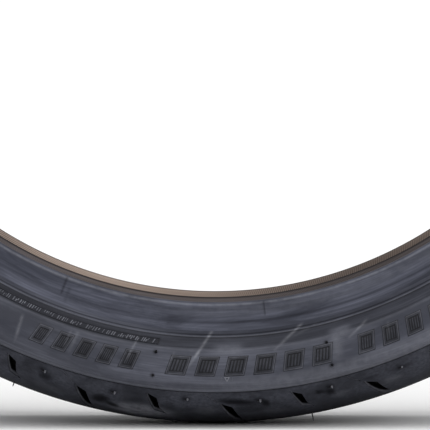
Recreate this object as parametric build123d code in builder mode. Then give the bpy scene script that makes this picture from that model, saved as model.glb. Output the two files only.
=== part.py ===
"""Tubeless motorcycle front tyre, 130/60-19, built up from the layers it is cured from.

Frame: origin at the wheel centre, +Y along the axle, +Z up, millimetres.
Every layer is a ring.  Its section is drawn in the YZ plane as (axial offset, radius) and turned about Y.
Sections are drawn on the +Y side (left) and mirrored for the -Y side (right).
"""

import os
from math import asin, cos, degrees, hypot, radians, sin, sqrt

from build123d import *

os.makedirs("parts", exist_ok=True)

# Driving dimensions -------------------------------------------------------------------------------
CROWN_RADIUS = 317.3  # wheel centre to the top of the tread, before the tyre is inflated
TREAD_ARC = 96.0  # radius of the tread from shoulder to shoulder
TREAD_HALF_WIDTH = 60.4
SEAT_RADIUS = 243.4  # cylindrical land of the bead seat
LAND_INNER = 37.8  # axial ends of that land
LAND_OUTER = 42.8
FLANGE_FACE = 44.6  # axial offset of the bead's outer face, for a 3.50 in rim
FLANGE_TOP = 255.0  # radius at which the flat face starts to curve away from the rim
FLANGE_ARC = 7.0
TOE_FACE = 32.2
TOE_CORNER = 241.5  # radius at which the cavity side turns into the toe
TOE_BEVEL = (32.43, 240.95)
TOE_TIP = (33.0, 240.75)

# Layer thicknesses
UNDERTREAD = 1.0
BELT = 0.9
BELT_EDGES = (30.0, 28.0, 26.0)  # half angle covered by each belt, innermost first
BELTS = len(BELT_EDGES)
UNDERTREAD_HALF_WIDTH = 53.0
CUSHION_END = 40.0  # where the belt-edge cushion runs out, as an angle round the shoulder arc
PLY = 0.8
LINER = 1.2
CHAFER = 0.6
FLIPPER = 0.4
RIM_STRIP = 1.0
RIM_STRIP_BASE = 0.7  # rim strip under the bead core
CROWN_GAUGE = 10.0  # tread, undertread and belts together at the crown
SEAM_LAP = 0.6  # width of the ledge left where the sidewall meets the tread edge

# Casing line: outer face of the outer ply
CASING_WIDEST = 59.8
CASING_WIDEST_RADIUS = 279.0
SHOULDER_ARC = 12.0
FLANK_NORMAL = 150.0  # direction square to the lower flank, from straight out towards the side
BEAD_BEND = 6.0
TURN_UP_OUTER_PLY = 42.0  # degrees round the flange curve at which each layer ends
TURN_UP_INNER_PLY = 34.0
TURN_UP_CHAFER = 24.0
RIM_STRIP_END = 48.0
FILLER_TIP = 46.5  # axial offset of the filler's thin end
FILLER_END = 50.0
LINER_END = 250.4  # radius at which the liner gives way to the chafer and rim strip

# Bead wire bundle: rows of turns laid side by side
WIRE = 1.2
WIRE_PITCH = 1.16
WIRE_ROWS = (3, 4, 3)
ROW_PITCH = WIRE_PITCH * sin(radians(60))
ROW_FILL = 1.08  # height of the rubber that closes the gaps between a row's turns
CORE_HALF_WIDTH = 2.8

# Sidewall contour
SIDE_ARC = 26.0
SIDE_CENTRE = (39.0, 285.0)
SHOULDER_BLEND = 290.0  # radius at which the side arc hands over to the rounded shoulder
BLEND_BULGE = 0.9
FLANK_SLOPE = 37.0
RIM_RIB_RADIUS = 263.2
RIM_RIB = 0.55  # half width and height of the fitting line
BAND_TOP = 269.9  # upper edge of the recessed band
BAND_STEP = 0.7

# Tread pattern: on each side a short blade and a long slot take turns round the tyre.
# Corners are (distance along the tyre, distance from the crown line), measured over the tread.
PITCHES = 22
PITCH = 360 / PITCHES
GROOVE_FLOOR = 0.8  # rubber left between a groove and the undertread
BLADE = ((-4.3, 61.5), (3.0, 56.1), (5.4, 43.4), (10.3, 33.0), (1.9, 39.0))
SLOT = ((-3.8, 54.0), (4.6, 48.0), (12.5, 17.0), (14.5, 4.5), (7.8, 16.0))
BLADE_ANGLE = -7.1  # first blade, in degrees from straight down towards +X
SLOT_ANGLE = BLADE_ANGLE + PITCH / 2
VENTS = 2 * PITCHES
VENT_ANGLE = -3.1
VENT_REACH = 58.2  # distance from the crown line
VENT_RADIUS = 0.8
VENT_RISE = 0.9
CUTTER_PUSH = 14.0  # reach of a groove cutter to either side of the plane it is drawn on
CUTTER_ROOF = 4.0  # height above the tread to which the cutters run
CUTTER_MARGIN = 8.0  # degrees by which they pass the tread's edges

# Raised marks on the sidewall: slanted frames in groups of (start angle, how many, pitch in degrees)
MARK_GROUPS = ((-22.8, 5, 2.76), (-6.2, 6, 3.5), (17.0, 6, 3.1))
MARK_REPEATS = 5
MARK_BOTTOM = 274.6
MARK_TOP = 285.6
MARK_RISE = 0.45
MARK_LEAN = 3.0  # how far the outer end of a mark leans along the tyre
MARK_STROKE = 1.9
MARK_FILL = 0.84  # share of its own pitch that a mark takes up
MARK_ROOT = 1.0  # how far a mark reaches down into the sidewall it stands on
MARK_PLANE_OFFSET = 50.0  # the outlines are drawn here, inside the sidewall, and pushed outwards
MARK_PUSH = 20.0
SIDE_VENTS = 17
SIDE_VENT_ANGLE = -7.3
SIDE_VENT_RADII = (273.8, 287.4)

# Derived dimensions -------------------------------------------------------------------------------
TREAD_CENTRE = (0.0, CROWN_RADIUS - TREAD_ARC)
TREAD_EDGE_ANGLE = degrees(asin(TREAD_HALF_WIDTH / TREAD_ARC))

# The casing's crown arc touches the crown point and runs tangentially into the shoulder arc.
DROP = CROWN_RADIUS - CROWN_GAUGE - CASING_WIDEST_RADIUS
CASING_ARC = (CASING_WIDEST**2 + DROP**2 - 2 * CASING_WIDEST * SHOULDER_ARC) / (2 * (DROP - SHOULDER_ARC))
CASING_CENTRE = (0.0, CROWN_RADIUS - CROWN_GAUGE - CASING_ARC)
SHOULDER_CENTRE = (CASING_WIDEST - SHOULDER_ARC, CASING_WIDEST_RADIUS)
SHOULDER_ANGLE = degrees(asin(SHOULDER_CENTRE[0] / (CASING_ARC - SHOULDER_ARC)))

# The core sits so that every layer wrapped round it just fills the bead up to the flange face.
WRAP = CORE_HALF_WIDTH + FLIPPER
CORE_OFFSET = FLANGE_FACE - RIM_STRIP - CHAFER - 2 * PLY - WRAP
CORE = (CORE_OFFSET, SEAT_RADIUS + RIM_STRIP_BASE + CHAFER + 2 * PLY + WRAP)
FLANGE_CENTRE = (FLANGE_FACE + FLANGE_ARC, FLANGE_TOP)
HEEL_ARC = FLANGE_FACE - LAND_OUTER
HEEL_CENTRE = (LAND_OUTER, SEAT_RADIUS + HEEL_ARC)
TURN_UP_ARC = FLANGE_CENTRE[0] - CORE_OFFSET - WRAP

BELT_TOP = CASING_ARC + BELTS * BELT
TREAD_BASE = BELT_TOP + UNDERTREAD
UNDERTREAD_EDGE = degrees(asin(UNDERTREAD_HALF_WIDTH / TREAD_BASE))


def polar(centre, radius, angle):
    """Point at an angle measured from straight out, turning towards the side."""
    return (centre[0] + radius * sin(radians(angle)), centre[1] + radius * cos(radians(angle)))


def arc(centre, radius, start, end):
    return tuple(polar(centre, radius, angle) for angle in (start, (start + end) / 2, end))


# The bend above the bead is tangent to the lower flank and to the bead's upright inner face.
FLANK_TOP = polar(SHOULDER_CENTRE, SHOULDER_ARC, FLANK_NORMAL)
FLANK_OUT = (sin(radians(FLANK_NORMAL)), cos(radians(FLANK_NORMAL)))
BEND_X = CORE_OFFSET - WRAP + BEAD_BEND
BEND_CENTRE = (BEND_X, FLANK_TOP[1] + (BEAD_BEND - (BEND_X - FLANK_TOP[0]) * FLANK_OUT[0]) / FLANK_OUT[1])


def main_line(depth):
    """Casing from the crown down to the bead, this far inside the outer ply's outer face."""
    bend = arc(BEND_CENTRE, BEAD_BEND + depth, FLANK_NORMAL - 180, -90)
    shoulder = arc(SHOULDER_CENTRE, SHOULDER_ARC - depth, SHOULDER_ANGLE, FLANK_NORMAL)
    return [arc(CASING_CENTRE, CASING_ARC - depth, 0, SHOULDER_ANGLE), shoulder, (shoulder[2], bend[0]), bend]


def bead_line(depth, end, start_radius=None):
    """The same line carried round under the bead core and up the outer side to an end angle."""
    left = CORE_OFFSET - WRAP - depth
    right = CORE_OFFSET + WRAP + depth
    start_radius = start_radius or BEND_CENTRE[1]
    lines = [((left, start_radius), (left, CORE[1])), arc(CORE, WRAP + depth, -90, -270)]
    lines.append(((right, CORE[1]), (right, FLANGE_TOP)))
    lines.append(arc(FLANGE_CENTRE, TURN_UP_ARC - depth, -90, end - 90))
    return lines


def draw(pieces, side=1):
    """Draw lines (two points) and arcs (three points), on the left or, mirrored, on the right."""
    for piece in pieces:
        points = [(side * x, y) for x, y in piece]
        if len(points) == 3:
            ThreePointArc(*points)
        else:
            Line(*points)


def strip(outer, inner, side=1):
    """Outline between two chains of pieces, closed by a straight line at each end."""
    draw(outer + inner, side)
    draw([(outer[0][0], inner[0][0]), (outer[-1][-1], inner[-1][-1])], side)


def band(inner, outer, edge):
    """Outline of a crown layer between two radii about the casing centre, out to an edge angle."""
    strip([arc(CASING_CENTRE, outer, 0, edge)], [arc(CASING_CENTRE, inner, 0, edge)])


def wrapped(start_depth, end_depth, end, side=1, start_radius=None):
    """Outline of a layer wrapped round the bead between two depths, up to an end angle."""
    strip(bead_line(start_depth, end, start_radius), bead_line(end_depth, end, start_radius), side)


def save(builder, name):
    builder.part.label = name
    export_step(builder.part, f"parts/{name}.step")


# Inner liner: airtight skin of the cavity ---------------------------------------------------------
with BuildPart() as inner_liner:
    with BuildSketch(Plane.YZ):
        liner_outer = main_line(2 * PLY)
        liner_inner = main_line(2 * PLY + LINER)
        liner_outer.append((liner_outer[-1][-1], (liner_outer[-1][-1][0], LINER_END)))
        liner_inner.append((liner_inner[-1][-1], (liner_inner[-1][-1][0], LINER_END)))
        with BuildLine():
            strip(liner_outer, liner_inner)
        make_face()
        mirror(about=Plane.YZ)
    revolve(axis=Axis.Y)
save(inner_liner, "inner_liner")

# Carcass plies, both turned up round the bead cores -----------------------------------------------
with BuildPart() as carcass_ply_inner:
    with BuildSketch(Plane.YZ):
        with BuildLine():
            strip(
                main_line(PLY) + bead_line(PLY, TURN_UP_INNER_PLY),
                main_line(2 * PLY) + bead_line(2 * PLY, TURN_UP_INNER_PLY),
            )
        make_face()
        mirror(about=Plane.YZ)
    revolve(axis=Axis.Y)
save(carcass_ply_inner, "carcass_ply_inner")

with BuildPart() as carcass_ply_outer:
    with BuildSketch(Plane.YZ):
        with BuildLine():
            strip(
                main_line(0) + bead_line(0, TURN_UP_OUTER_PLY),
                main_line(PLY) + bead_line(PLY, TURN_UP_OUTER_PLY),
            )
        make_face()
        mirror(about=Plane.YZ)
    revolve(axis=Axis.Y)
save(carcass_ply_outer, "carcass_ply_outer")

# Belts under the tread: two cut breakers and a spiral-wound cord layer ----------------------------
BELT_NAMES = ("breaker_belt_inner", "breaker_belt_outer", "spiral_belt")
for level, belt_name in enumerate(BELT_NAMES):
    with BuildPart() as belt:
        with BuildSketch(Plane.YZ):
            with BuildLine():
                band(CASING_ARC + level * BELT, CASING_ARC + (level + 1) * BELT, BELT_EDGES[level])
            make_face()
            mirror(about=Plane.YZ)
        revolve(axis=Axis.Y)
    save(belt, belt_name)

with BuildPart() as undertread:
    with BuildSketch(Plane.YZ):
        with BuildLine():
            band(BELT_TOP, TREAD_BASE, UNDERTREAD_EDGE)
        make_face()
        mirror(about=Plane.YZ)
    revolve(axis=Axis.Y)
save(undertread, "undertread")

# Corner points shared by the bead and sidewall pieces ----------------------------------------------
CUSHION_TIP = polar(SHOULDER_CENTRE, SHOULDER_ARC, CUSHION_END)
TREAD_EDGE = polar(TREAD_CENTRE, TREAD_ARC, TREAD_EDGE_ANGLE)
TREAD_HEEL = polar(CASING_CENTRE, TREAD_BASE, UNDERTREAD_EDGE)
EDGE_RUN = hypot(TREAD_EDGE[0] - TREAD_HEEL[0], TREAD_EDGE[1] - TREAD_HEEL[1])
LEDGE = tuple(e + (h - e) * SEAM_LAP / EDGE_RUN for e, h in zip(TREAD_EDGE, TREAD_HEEL))

# Layers wrapped round the bead: inner depth, outer depth, angle at which each ends
WRAPPED_LAYERS = (
    (0, PLY, TURN_UP_OUTER_PLY),
    (PLY, 2 * PLY, TURN_UP_INNER_PLY),
    (2 * PLY, 2 * PLY + CHAFER, TURN_UP_CHAFER),
)

# Staircase left by the belt ends, from the innermost belt out to the undertread's edge
BELT_STAIRS = []
for level, edge in enumerate(BELT_EDGES):
    foot = CASING_ARC + level * BELT
    following = (*BELT_EDGES, UNDERTREAD_EDGE)[level + 1]
    BELT_STAIRS.append((polar(CASING_CENTRE, foot, edge), polar(CASING_CENTRE, foot + BELT, edge)))
    BELT_STAIRS.append(arc(CASING_CENTRE, foot + BELT, edge, following))

FILLER_POINT = (FILLER_TIP, FLANK_TOP[1] - (FILLER_TIP - FLANK_TOP[0]) / FLANK_OUT[1] * FLANK_OUT[0])
FLANK_RISE = (cos(radians(FLANK_SLOPE)), sin(radians(FLANK_SLOPE)))
FLANK_START = polar(FLANGE_CENTRE, FLANGE_ARC, -FLANK_SLOPE)


def on_flank(radius, height=0.0):
    """Point of the lower sidewall at a radius, raised square to the surface."""
    run = (radius - FLANK_START[1]) / FLANK_RISE[1]
    return (FLANK_START[0] + run * FLANK_RISE[0] + height * FLANK_RISE[1], radius - height * FLANK_RISE[0])


def on_side(radius):
    """Point of the lettering band at a radius."""
    return (SIDE_CENTRE[0] + sqrt(SIDE_ARC**2 - (radius - SIDE_CENTRE[1]) ** 2), radius)


def side_angle(radius):
    """Direction from the side arc's centre to that point."""
    return 90 - degrees(asin((radius - SIDE_CENTRE[1]) / SIDE_ARC))


RIB_LOW = on_flank(RIM_RIB_RADIUS - RIM_RIB)
RIB_HIGH = on_flank(RIM_RIB_RADIUS + RIM_RIB)
BAND_EDGE = on_flank(BAND_TOP)
SIDE_FOOT = on_side(BAND_TOP + BAND_STEP)
BLEND = on_side(SHOULDER_BLEND)
BLEND_MIDDLE = ((BLEND[0] + LEDGE[0]) / 2 + BLEND_BULGE, (BLEND[1] + LEDGE[1]) / 2 + BLEND_BULGE)


def turns(count, start, shift=0.0):
    """Even steps round the axle, starting this many degrees from straight down towards +X."""
    return [Rotation(0, -start - shift - step * 360 / count, 0) for step in range(count)]


# One raised mark of each width, standing at the bottom of the right sidewall
with BuildPart() as mark_skin:
    with BuildSketch(Plane.YZ):
        with BuildLine():
            low, high = side_angle(MARK_BOTTOM), side_angle(MARK_TOP)
            under = arc(SIDE_CENTRE, SIDE_ARC - MARK_ROOT, low, high)
            over = arc(SIDE_CENTRE, SIDE_ARC + MARK_RISE, low, high)
            strip([under], [over], -1)
        make_face()
    revolve(axis=Axis.Y)

marks = []
for first, count, pitch in MARK_GROUPS:
    width = MARK_FILL * radians(pitch) * (MARK_BOTTOM + MARK_TOP) / 2 - MARK_LEAN
    with BuildPart() as mark:
        with BuildSketch(Plane.XZ.offset(MARK_PLANE_OFFSET)):
            for inset in (0, MARK_STROKE):
                # The outer outline overruns the band, which trims it; the inner one is the window.
                overrun = 0 if inset else 1
                foot = -MARK_BOTTOM - inset + overrun
                head = -MARK_TOP + inset - overrun
                half = width / 2 - inset
                lean = MARK_LEAN / 2
                with BuildLine():
                    Polyline(
                        (-half - lean, foot),
                        (half - lean, foot),
                        (half + lean, head),
                        (-half + lean, head),
                        close=True,
                    )
                make_face(mode=Mode.SUBTRACT if inset else Mode.ADD)
        extrude(amount=MARK_PUSH)
        add(mark_skin.part, mode=Mode.INTERSECT)
    marks.append(mark.part)

# Bead core, bead wrap, filler, belt-edge cushion, chafer and rim strip, left and right -------------
for side, hand in ((1, "left"), (-1, "right")):
    with BuildPart() as bead_core:
        with BuildSketch(Plane.YZ):
            for row, wires in enumerate(WIRE_ROWS):
                height = (row - 1) * ROW_PITCH
                with Locations((side * CORE[0], CORE[1] + height)):
                    Rectangle((wires - 1) * WIRE_PITCH, ROW_FILL)
                    with GridLocations(WIRE_PITCH, 1, wires, 1):
                        Circle(WIRE / 2)
        revolve(axis=Axis.Y)
    save(bead_core, f"bead_core_{hand}")

    with BuildPart() as bead_wrap:
        with BuildSketch(Plane.YZ):
            with Locations((side * CORE[0], CORE[1])):
                Circle(WRAP)
            for row, wires in enumerate(WIRE_ROWS):
                height = (row - 1) * ROW_PITCH
                with Locations((side * CORE[0], CORE[1] + height)):
                    Rectangle((wires - 1) * WIRE_PITCH, ROW_FILL, mode=Mode.SUBTRACT)
                    with GridLocations(WIRE_PITCH, 1, wires, 1):
                        Circle(WIRE / 2, mode=Mode.SUBTRACT)
        revolve(axis=Axis.Y)
    save(bead_wrap, f"bead_wrap_{hand}")

    with BuildPart() as bead_filler:
        with BuildSketch(Plane.YZ):
            with BuildLine():
                bend = arc(BEND_CENTRE, BEAD_BEND, FLANK_NORMAL - 180, -90)
                outer_face = arc(FLANGE_CENTRE, TURN_UP_ARC, -90, FILLER_END - 90)
                draw([bend, (bend[0], FILLER_POINT), (FILLER_POINT, outer_face[2]), outer_face], side)
                draw([(outer_face[0], polar(CORE, WRAP, 90)), (bend[2], polar(CORE, WRAP, -90))], side)
                draw([arc(CORE, WRAP, 90, -90)], side)
            make_face()
        revolve(axis=Axis.Y)
    save(bead_filler, f"bead_filler_{hand}")

    with BuildPart() as belt_edge_cushion:
        with BuildSketch(Plane.YZ):
            with BuildLine():
                draw(BELT_STAIRS, side)
                draw([(BELT_STAIRS[-1][-1], CUSHION_TIP)], side)
                draw([arc(SHOULDER_CENTRE, SHOULDER_ARC, CUSHION_END, SHOULDER_ANGLE)], side)
                draw([arc(CASING_CENTRE, CASING_ARC, SHOULDER_ANGLE, BELT_EDGES[0])], side)
            make_face()
        revolve(axis=Axis.Y)
    save(belt_edge_cushion, f"belt_edge_cushion_{hand}")

    with BuildPart() as chafer:
        with BuildSketch(Plane.YZ):
            with BuildLine():
                wrapped(2 * PLY, 2 * PLY + CHAFER, TURN_UP_CHAFER, side, LINER_END)
            make_face()
        revolve(axis=Axis.Y)
    save(chafer, f"chafer_{hand}")

    with BuildPart() as rim_strip:
        with BuildSketch(Plane.YZ):
            with BuildLine():
                heel = arc(HEEL_CENTRE, HEEL_ARC, 180, 90)
                face = arc(FLANGE_CENTRE, FLANGE_ARC, -90, RIM_STRIP_END - 90)
                inside = bead_line(0, RIM_STRIP_END, LINER_END)
                draw([((TOE_FACE, LINER_END), (TOE_FACE, TOE_CORNER))], side)
                draw([((TOE_FACE, TOE_CORNER), TOE_BEVEL, TOE_TIP)], side)
                draw([(TOE_TIP, (LAND_INNER, SEAT_RADIUS)), ((LAND_INNER, SEAT_RADIUS), heel[0])], side)
                draw([heel, (heel[2], face[0]), face, (face[2], inside[-1][-1])], side)
                draw(inside + [(inside[0][0], (TOE_FACE, LINER_END))], side)
            make_face()
            for start_depth, end_depth, end in WRAPPED_LAYERS:
                with BuildLine():
                    wrapped(start_depth, end_depth, end, side, LINER_END + 1)
                make_face(mode=Mode.SUBTRACT)
        revolve(axis=Axis.Y)
    save(rim_strip, f"rim_strip_{hand}")

# Sidewalls: the right one is drawn, the left one mirrors it --------------------------------------
with BuildPart() as sidewall_right:
    with BuildSketch(Plane.YZ):
        with BuildLine():
            lower = arc(FLANGE_CENTRE, FLANGE_ARC, RIM_STRIP_END - 90, -FLANK_SLOPE)
            draw([lower, (lower[2], RIB_LOW), (RIB_LOW, on_flank(RIM_RIB_RADIUS, RIM_RIB), RIB_HIGH)], -1)
            draw([(RIB_HIGH, BAND_EDGE), (BAND_EDGE, SIDE_FOOT)], -1)
            draw([arc(SIDE_CENTRE, SIDE_ARC, side_angle(SIDE_FOOT[1]), side_angle(BLEND[1]))], -1)
            draw([(BLEND, BLEND_MIDDLE, LEDGE), (LEDGE, TREAD_HEEL)], -1)
            draw([(TREAD_HEEL, BELT_STAIRS[-1][-1]), (BELT_STAIRS[-1][-1], CUSHION_TIP)], -1)
            draw([arc(SHOULDER_CENTRE, SHOULDER_ARC, CUSHION_END, FLANK_NORMAL)], -1)
            tip = polar(FLANGE_CENTRE, TURN_UP_ARC, FILLER_END - 90)
            draw([(FLANK_TOP, FILLER_POINT), (FILLER_POINT, tip)], -1)
            draw([arc(FLANGE_CENTRE, TURN_UP_ARC, FILLER_END - 90, RIM_STRIP_END - 90)], -1)
            draw([(polar(FLANGE_CENTRE, TURN_UP_ARC, RIM_STRIP_END - 90), lower[0])], -1)
        make_face()
    revolve(axis=Axis.Y)
    for mark, (first, count, pitch) in zip(marks, MARK_GROUPS):
        for step in range(count):
            with Locations(*turns(MARK_REPEATS, first + (step + 0.5) * pitch)):
                add(mark)
    for vent_radius in SIDE_VENT_RADII:
        angle = radians(side_angle(vent_radius))
        centre = (0, -on_side(vent_radius)[0], -vent_radius)
        vent_plane = Plane(origin=centre, x_dir=(1, 0, 0), z_dir=(0, -sin(angle), -cos(angle)))
        with Locations(*[turn * vent_plane.location for turn in turns(SIDE_VENTS, SIDE_VENT_ANGLE)]):
            Cylinder(VENT_RADIUS, 2 * VENT_RISE)
save(sidewall_right, "sidewall_right")

with BuildPart() as sidewall_left:
    add(mirror(sidewall_right.part, about=Plane.XZ, mode=Mode.PRIVATE))
save(sidewall_left, "sidewall_left")

# Tread --------------------------------------------------------------------------------------------
def tread_plane(reach):
    """Plane on the tread at the bottom of the right half, with its +Y towards the tread edge."""
    angle = reach / TREAD_ARC
    normal = (0, -sin(angle), -cos(angle))
    origin = (0, -TREAD_ARC * sin(angle), -TREAD_CENTRE[1] - TREAD_ARC * cos(angle))
    return Plane(origin=origin, x_dir=(1, 0, 0), z_dir=normal)


with BuildPart() as groove_space:
    with BuildSketch(Plane.YZ):
        with BuildLine():
            low_edge = UNDERTREAD_EDGE + CUTTER_MARGIN
            high_edge = TREAD_EDGE_ANGLE + CUTTER_MARGIN
            floor = arc(CASING_CENTRE, TREAD_BASE + GROOVE_FLOOR, -low_edge, low_edge)
            roof = arc(TREAD_CENTRE, TREAD_ARC + CUTTER_ROOF, -high_edge, high_edge)
            draw([floor, roof, (floor[0], roof[0]), (floor[2], roof[2])])
        make_face()
    revolve(axis=Axis.Y)

cutters = {}
for groove, corners in (("blade", BLADE), ("slot", SLOT)):
    middle = sum(reach for along, reach in corners) / len(corners)
    with BuildPart() as cutter:
        with BuildSketch(tread_plane(middle)):
            with BuildLine():
                Polyline(*[(x, TREAD_ARC * sin((y - middle) / TREAD_ARC)) for x, y in corners], close=True)
            make_face()
        extrude(amount=CUTTER_PUSH, both=True)
        add(groove_space.part, mode=Mode.INTERSECT)
    cutters[groove] = cutter.part

with BuildPart() as tread_half:
    with BuildSketch(Plane.YZ):
        with BuildLine():
            draw([arc(TREAD_CENTRE, TREAD_ARC, 0, TREAD_EDGE_ANGLE), (TREAD_EDGE, TREAD_HEEL)], -1)
            draw([arc(CASING_CENTRE, TREAD_BASE, UNDERTREAD_EDGE, 0)], -1)
            draw([(polar(CASING_CENTRE, TREAD_BASE, 0), (0, CROWN_RADIUS))])
        make_face()
    revolve(axis=Axis.Y)
    with Locations(*turns(PITCHES, BLADE_ANGLE)):
        add(cutters["blade"], mode=Mode.SUBTRACT)
    with Locations(*turns(PITCHES, SLOT_ANGLE)):
        add(cutters["slot"], mode=Mode.SUBTRACT)
    with Locations(*[turn * tread_plane(VENT_REACH).location for turn in turns(VENTS, VENT_ANGLE)]):
        Cylinder(VENT_RADIUS, 2 * VENT_RISE)

# The left half mirrors the right one and is turned half a pitch, so the grooves are staggered.
with BuildPart() as tread:
    add(tread_half.part)
    with Locations(Rotation(0, PITCH / 2, 0)):
        add(mirror(tread_half.part, about=Plane.XZ, mode=Mode.PRIVATE))
save(tread, "tread")
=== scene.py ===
"""Looks of the motorcycle tyre: rubber skins, raised marks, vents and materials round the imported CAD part."""

import math
import random

import bmesh
import bpy
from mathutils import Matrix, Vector
from mathutils.geometry import delaunay_2d_cdt


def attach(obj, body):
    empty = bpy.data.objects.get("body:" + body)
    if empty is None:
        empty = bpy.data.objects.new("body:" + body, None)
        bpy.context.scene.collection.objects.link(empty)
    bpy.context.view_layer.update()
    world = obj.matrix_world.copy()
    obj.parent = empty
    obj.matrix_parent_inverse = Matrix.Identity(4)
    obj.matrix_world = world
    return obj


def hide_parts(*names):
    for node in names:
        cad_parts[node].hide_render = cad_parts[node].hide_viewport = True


MM = 0.001
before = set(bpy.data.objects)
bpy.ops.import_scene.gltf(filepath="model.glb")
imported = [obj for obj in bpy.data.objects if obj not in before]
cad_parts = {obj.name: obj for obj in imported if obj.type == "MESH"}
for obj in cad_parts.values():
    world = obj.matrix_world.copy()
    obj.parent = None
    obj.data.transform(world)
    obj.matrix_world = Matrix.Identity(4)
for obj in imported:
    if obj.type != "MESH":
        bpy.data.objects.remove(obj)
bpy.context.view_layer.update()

# Section of the tyre, as in the CAD: millimetres, offsets from the middle plane and radii ----------
CROWN_RADIUS = 317.3
TREAD_ARC = 96.0
TREAD_CENTRE = CROWN_RADIUS - TREAD_ARC
SIDE_CENTRE = (39.0, 285.0)
SIDE_ARC = 26.0
FLANGE_CENTRE = (51.6, 255.0)
FLANGE_ARC = 7.0
FLANK_SLOPE = 37.0
LEDGE = (59.9, 295.8)  # where the sidewall meets the tread's edge
SHOWN_HALF = 31.0  # degrees either side of straight down that get the finest mesh
FINE_STEP = 0.16
COARSE_STEP = 0.72
UV_RADIUS = 0.28  # in metres; keeps patterns the same size along the turn as across it
REPEATS = 5  # times that the sidewall's marking comes round
SECTOR = 360 / REPEATS
SIDES = ((-1, "right"), (1, "left"))  # the right side faces -Y


def polar(centre, radius, angle):
    turn = math.radians(angle)
    return (centre[0] + radius * math.sin(turn), centre[1] + radius * math.cos(turn))


def arc_points(centre, radius, start, end, count):
    return [polar(centre, radius, start + (end - start) * i / (count - 1)) for i in range(count)]


def line_points(a, b, count):
    return [tuple(p + (q - p) * i / (count - 1) for p, q in zip(a, b)) for i in range(count)]


def side_angle(radius):
    return 90 - math.degrees(math.asin((radius - SIDE_CENTRE[1]) / SIDE_ARC))


def place(angle, offset, radius, side):
    """Point of the tyre: angle in degrees from straight down towards +X, on the right (-1) or left (1)."""
    turn = math.radians(angle)
    return (radius * math.sin(turn) * MM, side * offset * MM, -radius * math.cos(turn) * MM)


def gap(angle, other):
    """Smallest signed turn from one angle to another."""
    return (angle - other + 180) % 360 - 180


def in_sector(angle):
    """Angle from the middle of the nearest repeat of the marking."""
    here = gap(angle, 0.0)
    return gap(here, SECTOR * round(here / SECTOR))


def bell(distance, width):
    return math.exp(-((distance / width) ** 2))


def smooth(value, low, high):
    t = max(0.0, min(1.0, (value - low) / (high - low)))
    return t * t * (3 - 2 * t)


def turn_angles():
    angles = []
    a = -SHOWN_HALF
    while a < SHOWN_HALF - FINE_STEP / 2:
        angles.append(a)
        a += FINE_STEP
    rest = 360 - 2 * SHOWN_HALF
    count = round(rest / COARSE_STEP)
    angles += [SHOWN_HALF + rest * i / count for i in range(count)]
    return angles


ANGLES = turn_angles()


def finish_piece(name, mesh, sharp):
    mesh.polygons.foreach_set("use_smooth", [True] * len(mesh.polygons))
    mesh.set_sharp_from_angle(angle=math.radians(sharp))
    mesh.update()
    piece = bpy.data.objects.new(name, mesh)
    bpy.context.scene.collection.objects.link(piece)
    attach(piece, "root")
    return piece


def paint_points(mesh, values):
    colours = mesh.color_attributes.new("wear_and_painted_light", "FLOAT_COLOR", "POINT")
    colours.data.foreach_set("color", [c for value in values for c in (*value, 1.0)])


def ring(name, profile, side, paint, sharp=28.0):
    """Closed ring turned from a section outline; paint gives each vertex its values of wear and of painted
    light and shade.
    """
    count = len(profile)
    turns = len(ANGLES)
    verts, values, run = [], [], [0.0]
    for i in range(1, count + 1):
        a, b = profile[i - 1], profile[i % count]
        run.append(run[-1] + math.hypot(b[0] - a[0], b[1] - a[1]))
    for angle in ANGLES:
        verts += [place(angle, x, r, side) for x, r in profile]
        values += [paint(angle, x, r) for x, r in profile]
    faces, uvs = [], []
    for j in range(turns):
        k = (j + 1) % turns
        u0 = ANGLES[j]
        u1 = ANGLES[k] if k else ANGLES[0] + 360
        if u0 > 180:
            u0, u1 = u0 - 360, u1 - 360
        for i in range(count):
            m = (i + 1) % count
            quad = [(j, i, u0, run[i]), (j, m, u0, run[i + 1]), (k, m, u1, run[i + 1]), (k, i, u1, run[i])]
            if side < 0:
                quad.reverse()
            faces.append([q[0] * count + q[1] for q in quad])
            uvs += [(math.radians(q[2]) * UV_RADIUS, q[3] * MM) for q in quad]
    mesh = bpy.data.meshes.new(name)
    mesh.from_pydata(verts, [], faces)
    layer = mesh.uv_layers.new(name="UVMap")
    layer.data.foreach_set("uv", [c for uv in uvs for c in uv])
    paint_points(mesh, values)
    return finish_piece(name, mesh, sharp)


def mesh_piece(name, verts, faces, values=None, sharp=30.0):
    mesh = bpy.data.meshes.new(name)
    mesh.from_pydata(verts, [], faces)
    paint_points(mesh, values or [(0.0, 0.0, 0.0)] * len(verts))
    return finish_piece(name, mesh, sharp)


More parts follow.
